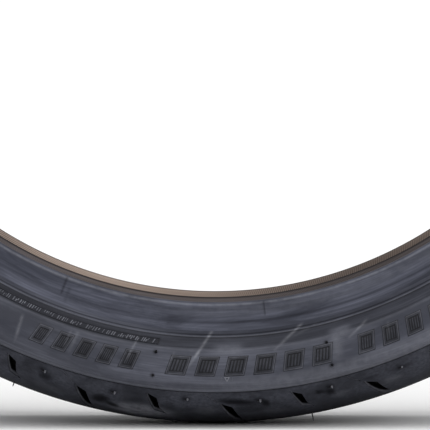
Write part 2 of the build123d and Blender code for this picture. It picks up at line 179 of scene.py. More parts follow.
# Node materials -----------------------------------------------------------------------------------
class Nodes:
    """Small helper that adds and links shader nodes."""

    def __init__(self, name):
        self.material = bpy.data.materials.new(name)
        self.material.use_nodes = True
        self.tree = self.material.node_tree
        self.shader = self.tree.nodes["Principled BSDF"]
        self.coords = self.tree.nodes.new("ShaderNodeTexCoord")

    def put(self, socket, value):
        if isinstance(value, bpy.types.NodeSocket):
            self.tree.links.new(value, socket)
        elif value is not None:
            socket.default_value = value

    def vector(self, coords, stretch=None, turned=0.0):
        source = self.coords.outputs[coords]
        if stretch is None and not turned:
            return source
        mapping = self.tree.nodes.new("ShaderNodeMapping")
        mapping.inputs["Scale"].default_value = stretch or (1, 1, 1)
        mapping.inputs["Rotation"].default_value = (0, 0, math.radians(turned))
        self.put(mapping.inputs["Vector"], source)
        return mapping.outputs["Vector"]

    def noise(self, scale, detail=3.0, rough=0.5, vector=None, distortion=0.0):
        node = self.tree.nodes.new("ShaderNodeTexNoise")
        settings = {"Scale": scale, "Detail": detail, "Roughness": rough, "Distortion": distortion}
        for key, value in settings.items():
            node.inputs[key].default_value = value
        self.put(node.inputs["Vector"], vector or self.coords.outputs["Object"])
        return node.outputs["Fac"]

    def wave(self, scale, vector, distortion=1.0):
        node = self.tree.nodes.new("ShaderNodeTexWave")
        node.inputs["Scale"].default_value = scale
        node.inputs["Distortion"].default_value = distortion
        node.inputs["Detail"].default_value = 2.0
        self.put(node.inputs["Vector"], vector)
        return node.outputs["Fac"]

    def ramp(self, fac, low, high, from_low=0.0, from_high=1.0):
        node = self.tree.nodes.new("ShaderNodeMapRange")
        node.clamp = True
        limits = {"From Min": low, "From Max": high, "To Min": from_low, "To Max": from_high}
        for key, value in limits.items():
            node.inputs[key].default_value = value
        self.put(node.inputs["Value"], fac)
        return node.outputs["Result"]

    def mix(self, fac, a, b):
        node = self.tree.nodes.new("ShaderNodeMix")
        node.data_type = "RGBA"
        self.put(node.inputs["Factor"], fac)
        self.put(node.inputs["A"], a)
        self.put(node.inputs["B"], b)
        return node.outputs["Result"]

    def times(self, a, b):
        node = self.tree.nodes.new("ShaderNodeMath")
        node.operation = "MULTIPLY"
        self.put(node.inputs[0], a)
        self.put(node.inputs[1], b)
        return node.outputs["Value"]

    # vertex paint: red is streaks and painted highlights, green is smudges and painted shade, blue picks a
    # piece's second tone
    def wear_and_painted_light(self):
        node = self.tree.nodes.new("ShaderNodeAttribute")
        node.attribute_name = "wear_and_painted_light"
        split = self.tree.nodes.new("ShaderNodeSeparateColor")
        self.put(split.inputs["Color"], node.outputs["Color"])
        return split.outputs["Red"], split.outputs["Green"], split.outputs["Blue"]

    def bump(self, height, strength, distance, normal=None):
        node = self.tree.nodes.new("ShaderNodeBump")
        node.inputs["Strength"].default_value = strength
        node.inputs["Distance"].default_value = distance
        self.put(node.inputs["Height"], height)
        if normal:
            self.put(node.inputs["Normal"], normal)
        return node.outputs["Normal"]


def colour(r, g, b):
    return (r, g, b, 1.0)


def grey(value, blue=0.0):
    """Grey with a little blue in it, as cured rubber has under its dull film."""
    return colour(value, value * (1 + blue * 0.15), value * (1 + blue))


# pale tone of streaks and painted highlights; dark tone of smudges and painted shade
STREAK_AND_HIGHLIGHT_TONE = grey(0.21, 0.16)
SMUDGE_AND_SHADE_TONE = colour(0.0035, 0.0035, 0.005)
SMUDGE_AND_SHADE_COVER = 0.93  # share of the rubber's own tone hidden where smudges and painted shade are darkest


def rubber(name, dark, light, dusty, roughness, film=22.0, ringed=False, vertex_painted=True, zone=None, gloss=0.35):
    """Moulded rubber: mottled tone, a smeared film of mould release, fine grain.

    ringed pieces smear along their own turn; zone gives the two tones of the part of a piece painted blue."""
    n = Nodes(name)
    smear = n.vector("UV", (0.16, 1.0, 1.0)) if ringed else n.vector("Object")
    tone = n.mix(n.ramp(n.noise(70.0, 5.0, 0.6, smear), 0.3, 0.7), dark, light)
    cover = n.noise(film * (2.6 if ringed else 1.0), 6.0, 0.62, smear, 0.5)
    fine_lines = n.noise(900.0, 2.0, 0.5, n.vector("UV", (0.03, 1.0, 1.0))) if ringed else n.noise(500.0, 2.0)
    mask = n.times(n.ramp(cover, 0.42, 0.60, 0.0, 0.85), n.ramp(fine_lines, 0.30, 0.70, 0.30, 1.0))
    rough = n.ramp(cover, 0.3, 0.7, roughness - 0.07, roughness + 0.10)
    if vertex_painted:
        pale_share, smudge_and_shade, area_mask = n.wear_and_painted_light()
        tone = n.mix(mask, tone, dusty)
        if zone:
            hatch = n.wave(260.0, n.vector("UV", None, 32.0)) if ringed else n.noise(180.0)
            hatch = n.times(hatch, n.ramp(cover, 0.3, 0.7, 0.6, 1.0))
            tone = n.mix(area_mask, tone, n.mix(hatch, zone[0], zone[1]))
        # streaks and painted highlights, then smudges and painted shade, laid over the rubber
        tone = n.mix(n.times(pale_share, n.ramp(n.noise(260.0, 3.0), 0.3, 0.6, 0.45, 0.95)), tone, STREAK_AND_HIGHLIGHT_TONE)
        tone = n.mix(n.ramp(smudge_and_shade, 0.0, 1.0, 0.0, SMUDGE_AND_SHADE_COVER), tone, SMUDGE_AND_SHADE_TONE)
    else:
        tone = n.mix(mask, tone, dusty)
    n.put(n.shader.inputs["Base Color"], tone)
    n.put(n.shader.inputs["Roughness"], rough)
    wide = n.bump(n.noise(9.0 * film, 3.0, 0.5), 0.25, 0.0003)
    n.put(n.shader.inputs["Normal"], n.bump(n.noise(1400.0, 2.0, 0.5), 0.25, 0.00006, wide))
    n.shader.inputs["Specular IOR Level"].default_value = gloss
    return n.material


SIDE_RUBBER = rubber("sidewall_rubber_look", grey(0.029, 0.46), grey(0.050, 0.38), grey(0.108, 0.32), 0.50,
                     ringed=True, gloss=0.14)
RIM_RUBBER = rubber("rim_strip_look", grey(0.031, 0.46), grey(0.050, 0.42), grey(0.110, 0.38), 0.47,
                    film=35.0, ringed=True, zone=(colour(0.30, 0.235, 0.195), colour(0.86, 0.68, 0.58)),
                    gloss=0.08)
# the tread's second tone, near black, is painted shade inside the grooves
TREAD_RUBBER = rubber("tread_rubber_look", grey(0.020, 0.32), grey(0.034, 0.30), grey(0.066, 0.30), 0.52,
                      film=30.0, zone=(grey(0.0010), grey(0.0014)), gloss=0.02)
MARK_RUBBER = rubber("mark_look", grey(0.026, 0.38), grey(0.042, 0.36), grey(0.092, 0.30), 0.48, film=60.0,
                     gloss=0.18)
VENT_RUBBER = rubber("vent_look", grey(0.010, 0.20), grey(0.020, 0.20), grey(0.050, 0.20), 0.35, film=300.0,
                     gloss=0.10)
LINER_RUBBER = rubber("liner_look", colour(0.060, 0.055, 0.050), colour(0.085, 0.078, 0.070),
                      colour(0.150, 0.135, 0.120), 0.55, vertex_painted=False)
INNER_RUBBER = rubber("inner_layers_look", colour(0.030, 0.029, 0.030), colour(0.045, 0.043, 0.042),
                      colour(0.080, 0.076, 0.070), 0.65, vertex_painted=False)
CORD_RUBBER = rubber("cord_layers_look", colour(0.060, 0.052, 0.042), colour(0.085, 0.074, 0.060),
                     colour(0.120, 0.105, 0.090), 0.7, vertex_painted=False)


def wire_material():
    n = Nodes("bead_wire_look")
    mottle = n.ramp(n.noise(300.0, 4.0, 0.6), 0.35, 0.65)
    tone = n.mix(mottle, colour(0.42, 0.27, 0.12), colour(0.62, 0.45, 0.25))
    n.put(n.shader.inputs["Base Color"], tone)
    n.shader.inputs["Metallic"].default_value = 1.0
    n.put(n.shader.inputs["Roughness"], n.ramp(n.noise(900.0), 0.3, 0.7, 0.25, 0.45))
    n.put(n.shader.inputs["Normal"], n.bump(n.noise(1500.0), 0.2, 0.00005))
    return n.material


WIRE = wire_material()


def dress(piece, material):
    piece.data.materials.clear()
    piece.data.materials.append(material)


# Sidewalls ----------------------------------------------------------------------------------------
RISE = (math.cos(math.radians(FLANK_SLOPE)), math.sin(math.radians(FLANK_SLOPE)))
FLANK_START = polar(FLANGE_CENTRE, FLANGE_ARC, -FLANK_SLOPE)
SIDE_TOP = 290.0
BAND_FLOOR = 264.3
BAND_EDGE = 269.9
LIFT = 0.02  # keeps the skin just proud of the CAD surface it stands for


def on_flank(radius, height=0.0):
    run = (radius - FLANK_START[1]) / RISE[1]
    return (FLANK_START[0] + run * RISE[0] + height * RISE[1], radius - height * RISE[0])


def on_side(radius, height=0.0):
    return polar(SIDE_CENTRE, SIDE_ARC + height, side_angle(radius))


def sidewall_profile():
    points = arc_points(FLANGE_CENTRE, FLANGE_ARC, -42.0, -FLANK_SLOPE, 4)
    # fitting line: a fine rib between two shallow hollows
    for radius, height in ((261.6, 0.0), (262.1, -0.12), (262.5, 0.0), (262.85, 0.35), (263.1, 0.55),
                           (263.3, 0.55), (263.55, 0.32), (263.8, -0.15), (BAND_FLOOR, -0.3)):
        points.append(on_flank(radius, height))
    points += [on_flank(BAND_FLOOR + 5.2 * i / 8, -0.3) for i in range(1, 9)]
    points += [on_flank(269.75, -0.2), on_flank(269.95, 0.25), on_flank(270.05, 0.55)]
    points += [on_side(270.75 + (SIDE_TOP - 270.75) * i / 27, LIFT) for i in range(28)]
    # rounded shoulder with two moulding lines
    top = on_side(SIDE_TOP, LIFT)
    for share in (0.16, 0.30, 0.34, 0.46, 0.58, 0.62, 0.74, 0.86, 0.94):
        dip = -0.16 if share in (0.30, 0.58) else 0.0
        x = top[0] + (LEDGE[0] - top[0]) * share + 3.4 * share * (1 - share) + dip
        r = top[1] + (LEDGE[1] - top[1]) * share + 3.6 * share * (1 - share) + dip
        points.append((x, r))
    # hidden face against the layers inside
    points += [LEDGE, (57.0, 295.2), (53.2, 294.4), (55.6, 287.6), (57.5, 284.0), (59.6, 279.0)]
    points += [(58.6, 273.5), (53.6, 269.0), (48.0, 265.6), (45.2, 262.9)]
    return points


SIDE_VENTS = 17
SIDE_VENT_ANGLE = -7.3
SIDE_VENT_RADII = (273.8, 287.4)
STREAKS = [  # (angle, radius) at each end, half width in mm, strength
    ((-24.4, 273.5), (-23.9, 291.5), 0.8, 0.45), ((-9.6, 265.0), (-10.9, 283.0), 0.65, 0.60),
    ((-0.2, 259.0), (-3.4, 281.0), 0.75, 0.95), ((11.6, 260.0), (7.3, 272.5), 0.75, 0.80),
    ((19.7, 267.5), (16.6, 274.5), 0.65, 0.60), ((-17.2, 270.5), (-17.6, 285.0), 1.1, 0.28),
    ((-18.1, 272.0), (-18.4, 284.0), 0.6, 0.30), ((-5.0, 272.0), (-5.6, 281.0), 0.5, 0.22),
    ((13.5, 262.0), (9.0, 268.0), 0.6, 0.25), ((21.9, 273.0), (21.0, 284.0), 0.7, 0.22),
    ((15.4, 266.0), (14.5, 288.0), 3.2, 0.28),
]
# Fine print is replaced by a boxed row of plain ticks
TICKS_START = -30.0
TICKS_END = -7.0
TICKS_LOW = 265.9
TICKS_HIGH = 269.2
TICK_PITCH = 1.35
BORDER_STEP = 3.0  # length of the pieces that make up the box round the ticks
CLOUDS = ((1.7, 270.2, 8.5, 3.0), (15.8, 270.0, 6.5, 3.0))  # angle, radius, half length, half height


def add_streaks():
    dice = random.Random(7)
    angle = SHOWN_HALF + 1
    while angle < 360 - SHOWN_HALF - 1:
        low = 262.0 + dice.random() * 10
        lean = -1.0 - 2.5 * dice.random()
        STREAKS.append(((angle, low), (angle + lean, low + 9 + 12 * dice.random()), 0.9 + 0.4 * dice.random(),
                        0.3 + 0.4 * dice.random()))
        angle += 5.0 + 9.0 * dice.random()


add_streaks()


def streak_value(angle, radius):
    best = 0.0
    for (a0, r0), (a1, r1), width, strength in STREAKS:
        da = gap(angle, a0)
        if abs(da) > 6.5:
            continue
        x, y = math.radians(da) * radius, radius - r0
        dx, dy = math.radians(gap(a1, a0)) * (r0 + r1) / 2, r1 - r0
        length = math.hypot(dx, dy)
        along = (x * dx + y * dy) / length
        across = (x * dy - y * dx) / length
        over = max(0.0, -along, along - length)
        fade = smooth(along, -1.0, 0.2 * length) * (1 - 0.8 * smooth(along, 0.55 * length, length + 1.0))
        best = max(best, strength * fade * bell(across, width) * bell(over, 0.8))
    return best


def paint_side(angle, x, r):
    local = in_sector(angle)
    cloud = max(math.exp(-((math.radians(gap(local, a)) * r / long) ** 4) - ((r - c) / high) ** 4)
                for a, c, long, high in CLOUDS)
    band = 0.0
    if x > 50:
        band = smooth(r, 263.2, 263.9) * (1 - smooth(r, 269.85, 270.1))
    smudge_and_shade = band * (0.48 + 0.34 * (1 - smooth(local, -19.0, -8.0))) * (1 - cloud)
    # painted shade below the rib where the flange turns, and over the left of each repeat
    smudge_and_shade = max(smudge_and_shade, 0.20 * (1 - smooth(r, 262.0, 263.0)), 0.18 * (1 - smooth(local, -20.0, -2.0)))
    boxed = smooth(local, TICKS_START - 0.2, TICKS_START)
    boxed *= 1 - smooth(local, TICKS_END - 0.1, TICKS_END + 0.3)
    smudge_and_shade = max(smudge_and_shade, band * 0.78 * boxed * smooth(r, 265.2, 265.9) * (1 - smooth(r, 269.2, 269.6)))
    # painted shade in the shallow hollows either side of the fitting rib
    smudge_and_shade = max(smudge_and_shade, 0.85 * bell(r - 263.95, 0.28), 0.85 * bell(r - 262.2, 0.30))
    # painted shade at the foot of the step up to the lettered band
    smudge_and_shade = max(smudge_and_shade, 0.75 * bell(r - 270.0, 0.14))
    low = smooth(r, 284.0, 290.0)
    # painted shade: the upper sidewall darker towards the left of each repeat
    smudge_and_shade = max(smudge_and_shade, low * 0.22 * (1 - smooth(local, -20.0, -6.0)))
    if r > 293:
        smudge_and_shade = max(smudge_and_shade, 0.75 * smooth(r, 295.0, 295.7))
    for radius in SIDE_VENT_RADII:
        if abs(r - radius) < 4:
            turns = round((angle - SIDE_VENT_ANGLE) * SIDE_VENTS / 360)
            near = gap(angle, SIDE_VENT_ANGLE + 360 / SIDE_VENTS * turns)
            away = math.hypot(math.radians(near) * r + 0.5, r - radius)
            smudge_and_shade = max(smudge_and_shade, 0.85 * bell(away, 1.25))
    # streaks, pale clouds, and painted light that makes the upper sidewall lighter towards the right of each
    # repeat
    light = max(streak_value(angle, r), 0.22 * cloud, low * (0.05 + 0.20 * smooth(local, -10.0, 12.0)))
    # painted highlight on top of the fitting rib, and a faint one just above the step
    light = max(light, 0.40 * bell(r - 263.15, 0.22), 0.16 * bell(r - 271.0, 0.5))
    # painted highlight along the shoulder towards the tread edge
    light = max(light, 0.22 * bell(r - 294.3, 0.7))
    return (light, smudge_and_shade, 0.0)


PROFILE = sidewall_profile()
for side, hand in SIDES:
    wall = ring(f"sidewall_skin_{hand}", PROFILE, side, paint_side)
    dress(wall, SIDE_RUBBER)
    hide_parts(f"sidewall_{hand}")

# Rim strips ---------------------------------------------------------------------------------------
TOE_EDGE = 32.9  # offset at which the cavity side of the bead turns into the tapered seat


def rim_profile():
    points = [(32.2, 250.4), (32.2, 247.0), (32.2, 244.0), (32.2, 242.0), (32.25, 241.5), (32.43, 241.0),
              (32.8, 240.78), (33.05, 240.80), (33.3, 240.92), (33.6, 241.08)]
    points += line_points((34.2, 241.4), (37.6, 243.3), 5) + [(37.8, 243.4)]
    points += line_points((38.5, 243.4), (42.4, 243.4), 4)
    points += arc_points((42.8, 245.2), 1.8, 180, 90, 7)
    points += line_points((44.6, 245.8), (44.6, 254.2), 12) + [(44.6, 254.7)]
    points += arc_points(FLANGE_CENTRE, FLANGE_ARC, -90, -42, 14)
    points += [(45.0, 262.4), (42.6, 258.0), (41.6, 254.0), (41.5, 249.5), (40.5, 246.8), (38.2, 245.9),
               (36.0, 246.8), (34.9, 249.5)]
    return points


# Marks left by the mould: angle, inner radius, outer radius, half width, strength
MOULD_LINES = (
    (-20.9, 244.8, 254.7, 0.8, 0.55), (6.7, 244.6, 252.0, 0.35, 0.95), (-20.1, 250.0, 258.0, 1.2, 0.3),
)


def paint_rim(angle, x, r):
    here = gap(angle, 0.0)
    local = in_sector(angle)
    smudge_and_shade, light, brown = 0.0, 0.0, 0.0
    if r < 251 and x < 42.0:
        # painted highlight and shade along the turn on the bead: palest near -15 degrees, darkest near 21, five
        # times round
        painted_shade_wave = 0.5 + 0.5 * math.sin(math.radians(5 * here - 15.0))
        if x < TOE_EDGE:
            brown = 1.0 - 0.20 * painted_shade_wave
            smudge_and_shade = 0.08 + 0.58 * painted_shade_wave
            # painted shadow on the toe tip
            if r < 241.4:
                smudge_and_shade = max(smudge_and_shade, 0.9)
        else:
            brown = 0.26
            smudge_and_shade = 0.60 + 0.12 * painted_shade_wave
            # painted shadow where the toe meets the seat, and painted shade at the start of the heel
            smudge_and_shade = max(smudge_and_shade, bell(x - 33.7, 1.8), 0.9 * bell(x - 42.7, 0.9))
        return (light, smudge_and_shade, brown)
    for a, low, high, width, strength in MOULD_LINES:
        d = math.radians(gap(local, a)) * 250
        if abs(d) < 4 * width and x > 43:
            over = max(0.0, low - r, r - high)
            smudge_and_shade = max(smudge_and_shade, strength * bell(d, width) * bell(over, 0.6))
    if x > 43.5:
        # painted shade: a dark line where the flange face starts to turn, firmer on the right of each repeat,
        # and a darker turn further right
        turned = smooth(local, -6.0, 2.0)
        smudge_and_shade = max(smudge_and_shade, 0.50 * turned * bell(r - 255.2, 0.9), 0.22 * (1 - turned) * bell(r - 255.2, 1.6))
        smudge_and_shade = max(smudge_and_shade, 0.32 * smooth(local, 2.0, 16.0) * smooth(r, 256.0, 259.5))
        # painted highlight along the bead heel, and a soft painted highlight on the flange face towards the
        # left
        light = 0.50 * bell(r - 244.9, 0.7)
        light = max(light, 0.16 * bell(r - 248.5, 4.0) * smooth(local, -14.0, 2.0))
    return (light, smudge_and_shade, 0.0)


for side, hand in SIDES:
    strip = ring(f"rim_strip_skin_{hand}", rim_profile(), side, paint_rim)
    dress(strip, RIM_RUBBER)
    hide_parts(f"rim_strip_{hand}")

# Raised marks in place of lettering ---------------------------------------------------------------
MARK_GROUPS = ((-22.8, 5, 2.76), (-6.2, 6, 3.5), (17.0, 6, 3.1))  # start angle, how many, pitch
MARK_FOOT = 274.7
MARK_HEAD = 285.5
MARK_LEAN = 3.0
MARK_FILL = 0.84
FRAME_STROKE = 1.9
FRAME_RINGS = (  # inset from the outline, height, and paint: painted shade round the outer foot and down the inner wall, a painted highlight along the outer top edge, a darker top
    (-0.40, 0.045, (0.0, 0.55, 0.0)), (0.0, 0.05, (0.0, 0.95, 0.0)), (0.10, 0.30, (0.20, 0.2, 0.0)),
    (0.30, 0.50, (0.26, 0.0, 0.0)), (0.60, 0.50, (0.0, 0.60, 0.0)), (1.35, 0.50, (0.0, 0.60, 0.0)),
    (1.60, 0.46, (0.0, 0.85, 0.0)), (FRAME_STROKE, 0.10, (0.0, 0.95, 0.0)),
)
SIDE_STEPS = 9
BARS = 4
BAR_ROWS = 10
BLOCK_SLOPE = 0.12  # how far the top of a small block stands in from its foot


def lean_at(radius):
    return -MARK_LEAN * ((radius - MARK_FOOT) / (MARK_HEAD - MARK_FOOT) - 0.5)


def slanted_loop(width, inset):
    """Slanted outline walked round once: (distance along the tyre, radius)."""
    half = width / 2 - inset
    low, high = MARK_FOOT + inset, MARK_HEAD - inset
    corners = [(-half, low), (half, low), (half, high), (-half, high)]
    points = []
    for (x0, r0), (x1, r1) in zip(corners, corners[1:] + corners[:1]):
        for i in range(SIDE_STEPS):
            r = r0 + (r1 - r0) * i / SIDE_STEPS
            points.append((x0 + (x1 - x0) * i / SIDE_STEPS + lean_at(r), r))
    return points


class Relief:
    """Collects raised details of one sidewall into a single mesh."""

    def __init__(self, side):
        self.side = side
        self.verts, self.faces, self.values = [], [], []

    def add(self, middle, along, radius, height, value):
        x, r = on_side(radius, height) if radius > BAND_EDGE else on_flank(radius, height)
        angle = middle + math.degrees(along / radius)
        pale_share = streak_value(angle, radius)
        self.verts.append(place(angle, x, r, self.side))
        self.values.append((max(value[0], pale_share), value[1] * (1 - pale_share), value[2]))

    def quad(self, a, b, c, d):
        self.faces.append([a, b, c, d] if self.side < 0 else [d, c, b, a])

    def rings(self, middle, loops):
        """Bands between closed loops of (along, radius, height, wear)."""
        base, size = len(self.verts), len(loops[0])
        for points in loops:
            for along, radius, height, value in points:
                self.add(middle, along, radius, height, value)
        for level in range(len(loops) - 1):
            for i in range(size):
                a, b = base + level * size + i, base + level * size + (i + 1) % size
                self.quad(a, b, b + size, a + size)

    def block(self, middle, left, right, low, high, base_height, top_height, value, lean=0.0):
        """Small block with four sloping sides and a flat top."""
        start = len(self.verts)
        for inset, height in ((0.0, base_height), (BLOCK_SLOPE, top_height)):
            for along, radius in ((left, low), (right, low), (right, high), (left, high)):
                shift = lean * (radius - low) / (high - low)
                along += inset if along == left else -inset
                radius += inset if radius == low else -inset
                self.add(middle, along + shift, radius, height, value)
        for i in range(4):
            j = (i + 1) % 4
            self.quad(start + i, start + j, start + 4 + j, start + 4 + i)
        self.quad(start + 4, start + 5, start + 6, start + 7)

    def piece(self, name, material, slot, sharp=30.0):
        made = mesh_piece(name, self.verts, self.faces, self.values, sharp)
        dress(made, material)


def build_marks(side, hand):
    frames, panels = Relief(side), Relief(side)
    for first, count, pitch in MARK_GROUPS:
        width = MARK_FILL * math.radians(pitch) * (MARK_FOOT + MARK_HEAD) / 2 - MARK_LEAN
        half = width / 2 - FRAME_STROKE + 0.1
        low, high = MARK_FOOT + FRAME_STROKE - 0.1, MARK_HEAD - FRAME_STROKE + 0.1
        for step in range(count * REPEATS):
            middle = first + (step % count + 0.5) * pitch + step // count * SECTOR
            frames.rings(middle, [[(x, r, height, value) for x, r in slanted_loop(width, inset)]
                                  for inset, height, value in FRAME_RINGS])
            # floor of the frame, pressed into leaning bars, with painted shade between the bars and along the
            # frame's edge
            columns = [(-half, 0.10, 0.95)]
            for bar in range(BARS):
                left = -half + 2 * half * (bar + 0.18) / BARS
                right = -half + 2 * half * (bar + 0.82) / BARS
                columns += [(left, 0.10, 0.95), (left + 0.15, 0.30, 0.55), (right - 0.15, 0.30, 0.55),
                            (right, 0.10, 0.95)]
            columns.append((half, 0.10, 0.95))
            base = len(panels.verts)
            for row in range(BAR_ROWS + 1):
                radius = low + (high - low) * row / BAR_ROWS
                for along, height, dark in columns:
                    edge = 0.0 if 0 < row < BAR_ROWS else 1.0
                    panels.add(middle, along + lean_at(radius), radius, height * (1 - edge) + 0.08 * edge,
                               (0.0, max(dark, edge), 0.0))
            wide = len(columns)
            for row in range(BAR_ROWS):
                for column in range(wide - 1):
                    a = base + row * wide + column
                    panels.quad(a, a + 1, a + wide + 1, a + wide)
    frames.piece(f"mark_frames_{hand}", MARK_RUBBER, "sidewall_rubber")
    panels.piece(f"mark_panels_{hand}", MARK_RUBBER, "sidewall_rubber")


def build_ticks(side, hand):
    relief = Relief(side)
    dice = random.Random(23)
    length = math.radians(TICKS_END - TICKS_START) * TICKS_LOW
    for repeat in range(REPEATS):
        middle = TICKS_START + repeat * SECTOR
        along = 1.2
        while along < length - 1.2:
            if dice.random() > 0.14:
                high = TICKS_HIGH - 0.55 - (0.9 if dice.random() < 0.25 else 0.0)
                low = TICKS_LOW + 0.55 + (0.8 if dice.random() < 0.2 else 0.0)
                relief.block(middle, along, along + 0.45 + 0.35 * dice.random(), low, high, -0.4, 0.02,
                             (0.50, 0.0, 0.0), -0.35)
            along += TICK_PITCH * (0.75 + 0.5 * dice.random())
        for row_low, row_high in ((TICKS_LOW, TICKS_LOW + 0.28), (TICKS_HIGH - 0.28, TICKS_HIGH)):
            position = 0.0
            while position < length:
                end = min(position + BORDER_STEP, length)
                relief.block(middle, position - 0.1, end + 0.1, row_low, row_high, -0.4, -0.02,
                             (0.0, 0.80, 0.0))
                position += BORDER_STEP
        relief.block(middle, length - 0.1, length + 0.3, TICKS_LOW, TICKS_HIGH, -0.4, -0.02, (0.0, 0.80, 0.0))
    relief.piece(f"tick_rows_{hand}", MARK_RUBBER, "sidewall_rubber")


# Wear pointers: a small outlined triangle between two bars, near the tread edge
POINTER_ANGLE = 1.4
POINTER_RADIUS = 287.3


def build_pointers(side, hand):
    relief = Relief(side)
    for repeat in range(REPEATS):
        middle = POINTER_ANGLE + repeat * SECTOR
        loops = []
        for size, height in ((2.0, -0.2), (2.0, 0.22), (1.55, 0.30), (1.1, 0.22), (1.0, -0.1)):
            corners = [(size * math.sin(math.radians(120 * k)), size * math.cos(math.radians(120 * k)))
                       for k in range(3)]
            points = []
            for (x0, y0), (x1, y1) in zip(corners, corners[1:] + corners[:1]):
                for t in (0.0, 0.33, 0.67):
                    radius = POINTER_RADIUS + y0 + (y1 - y0) * t
                    points.append((x0 + (x1 - x0) * t, radius, height, (0.7, 0.0, 0.0)))
            loops.append(points[::-1])
        relief.rings(middle, loops)
        for along in (-3.2, 2.8):
            relief.block(middle, along, along + 0.4, POINTER_RADIUS - 1.1, POINTER_RADIUS + 1.5, -0.2, 0.25,
                         (0.42, 0.0, 0.0))
    relief.piece(f"wear_pointers_{hand}", MARK_RUBBER, "sidewall_rubber")


for side, hand in SIDES:
    build_marks(side, hand)
    build_ticks(side, hand)
    build_pointers(side, hand)

# Tread with its grooves ---------------------------------------------------------------------------
PITCHES = 22
PITCH = 360 / PITCHES
BLADE = ((-4.3, 61.5), (3.0, 56.1), (5.4, 43.4), (10.3, 33.0), (1.9, 39.0))
SLOT = ((-3.8, 54.0), (4.6, 48.0), (12.5, 17.0), (14.5, 4.5), (7.8, 16.0))
SIPE = ((-12.2, 63.6), (-11.6, 64.2), (-4.4, 55.6), (-5.0, 54.9))
BLADE_ANGLE = -7.1
SLOT_ANGLE = BLADE_ANGLE + PITCH / 2
SIPE_DEPTH = 0.3  # share of a groove's depth
GROOVES = ((BLADE, BLADE_ANGLE, 1.0), (SLOT, SLOT_ANGLE, 1.0), (SIPE, SLOT_ANGLE, SIPE_DEPTH))
PATCH_START = -10.9  # where one pitch of the pattern starts
COLUMNS = 40  # grid of a pitch: along the tread and from the crown to the edge
ROWS = 28
TREAD_HALF_WIDTH = 60.4
EDGE_REACH = TREAD_ARC * math.asin(TREAD_HALF_WIDTH / TREAD_ARC)
CASING_CENTRE = 217.1  # radius at which the arcs of the casing, belts and groove floors are centred
TREAD_BASE = 93.9  # arc of the tread's underside
FLOOR_ARC = 94.7  # arc of the groove floors
PATTERN_RADIUS = 306.0  # where a step along the tread pattern is measured
MILLIMETRES_PER_DEGREE = math.radians(1) * PATTERN_RADIUS
HEEL = (53.0, 294.6)  # inner corner of the tread's edge
WALL_RINGS = (  # inset from the groove's edge, share of its depth, tone of the painted shade down the groove
    (0.18, 0.03, 0.3), (0.30, 0.25, 1.0), (0.42, 0.45, 1.0), (0.75, 0.93, 1.0), (1.35, 1.0, 1.0),
)
LIT_SHARE = 0.25  # the ring that catches the light on walls facing it
LIT_WALL = -0.85  # a negative tone is a painted highlight on a groove wall that faces the light; a positive one is painted groove shade, near black


def tread_point(angle, reach, depth, side):
    across = reach / TREAD_ARC
    radius = TREAD_ARC - depth
    return place(angle, radius * math.sin(across), TREAD_CENTRE + radius * math.cos(across), side)


def floor_depth(reach):
    across = reach / TREAD_ARC
    drop = TREAD_CENTRE - CASING_CENTRE
    return TREAD_ARC + drop * math.cos(across) - math.sqrt(FLOOR_ARC**2 - (drop * math.sin(across)) ** 2)


def rounded(corners, radius, steps=3, spacing=2.2):
    """Outline with rounded corners and evenly spread points."""
    points = []
    count = len(corners)
    for i in range(count):
        before, here, after = (Vector(corners[(i + k) % count]) for k in (-1, 0, 1))
        cut = min(radius, (before - here).length * 0.3, (after - here).length * 0.3)
        a = here + (before - here).normalized() * cut
        b = here + (after - here).normalized() * cut
        for k in range(steps + 1):
            t = k / steps
            points.append(a * (1 - t) ** 2 + here * 2 * t * (1 - t) + b * t**2)
        following = Vector(corners[(i + 1) % count])
        far = Vector(corners[(i + 2) % count])
        cut = min(radius, (here - following).length * 0.3, (far - following).length * 0.3)
        end = following + (here - following).normalized() * cut
        gap_length = (end - b).length
        extra = int(gap_length / spacing)
        for k in range(1, extra + 1):
            points.append(b.lerp(end, k / (extra + 1)))
    return points


def inside(point, outline):
    hit = False
    count = len(outline)
    for i in range(count):
        a, b = outline[i], outline[(i + 1) % count]
        if (a[1] > point[1]) != (b[1] > point[1]):
            if point[0] < (b[0] - a[0]) * (point[1] - a[1]) / (b[1] - a[1]) + a[0]:
                hit = not hit
    return hit


def to_outline(point, outline):
    best = 1e9
    p = Vector(point)
    count = len(outline)
    for i in range(count):
        a, b = outline[i], outline[(i + 1) % count]
        t = max(0.0, min(1.0, (p - a).dot(b - a) / max((b - a).length_squared, 1e-9)))
        best = min(best, (p - a.lerp(b, t)).length)
    return best


def signed_area(outline):
    """Twice the area inside an outline, negative when it runs clockwise."""
    after = outline[1:] + outline[:1]
    return sum(a[0] * b[1] - b[0] * a[1] for a, b in zip(outline, after))


def inward(outline):
    """Inward direction and room to the far side at each point of an outline."""
    count = len(outline)
    turn = 1.0 if signed_area(outline) > 0 else -1.0
    result = []
    for i in range(count):
        along = (outline[(i + 1) % count] - outline[i - 1]).normalized()
        normal = Vector((-along[1], along[0])) * turn
        room = 8.0
        for j in range(count):
            a, b = outline[j], outline[(j + 1) % count]
            if j in (i, (i - 1) % count):
                continue
            edge = b - a
            det = normal[0] * -edge[1] + normal[1] * edge[0]
            if abs(det) < 1e-9:
                continue
            w = a - outline[i]
            t = (w[0] * -edge[1] + w[1] * edge[0]) / det
            u = (normal[0] * w[1] - normal[1] * w[0]) / det
            if t > 0.01 and -0.01 <= u <= 1.01:
                room = min(room, t)
        result.append((normal, room))
    return result


def laid_flat(angle, reach):
    return Vector(((angle - PATCH_START) * MILLIMETRES_PER_DEGREE, reach))


def key_of(point):
    return (round(point[0], 3), round(point[1], 3))


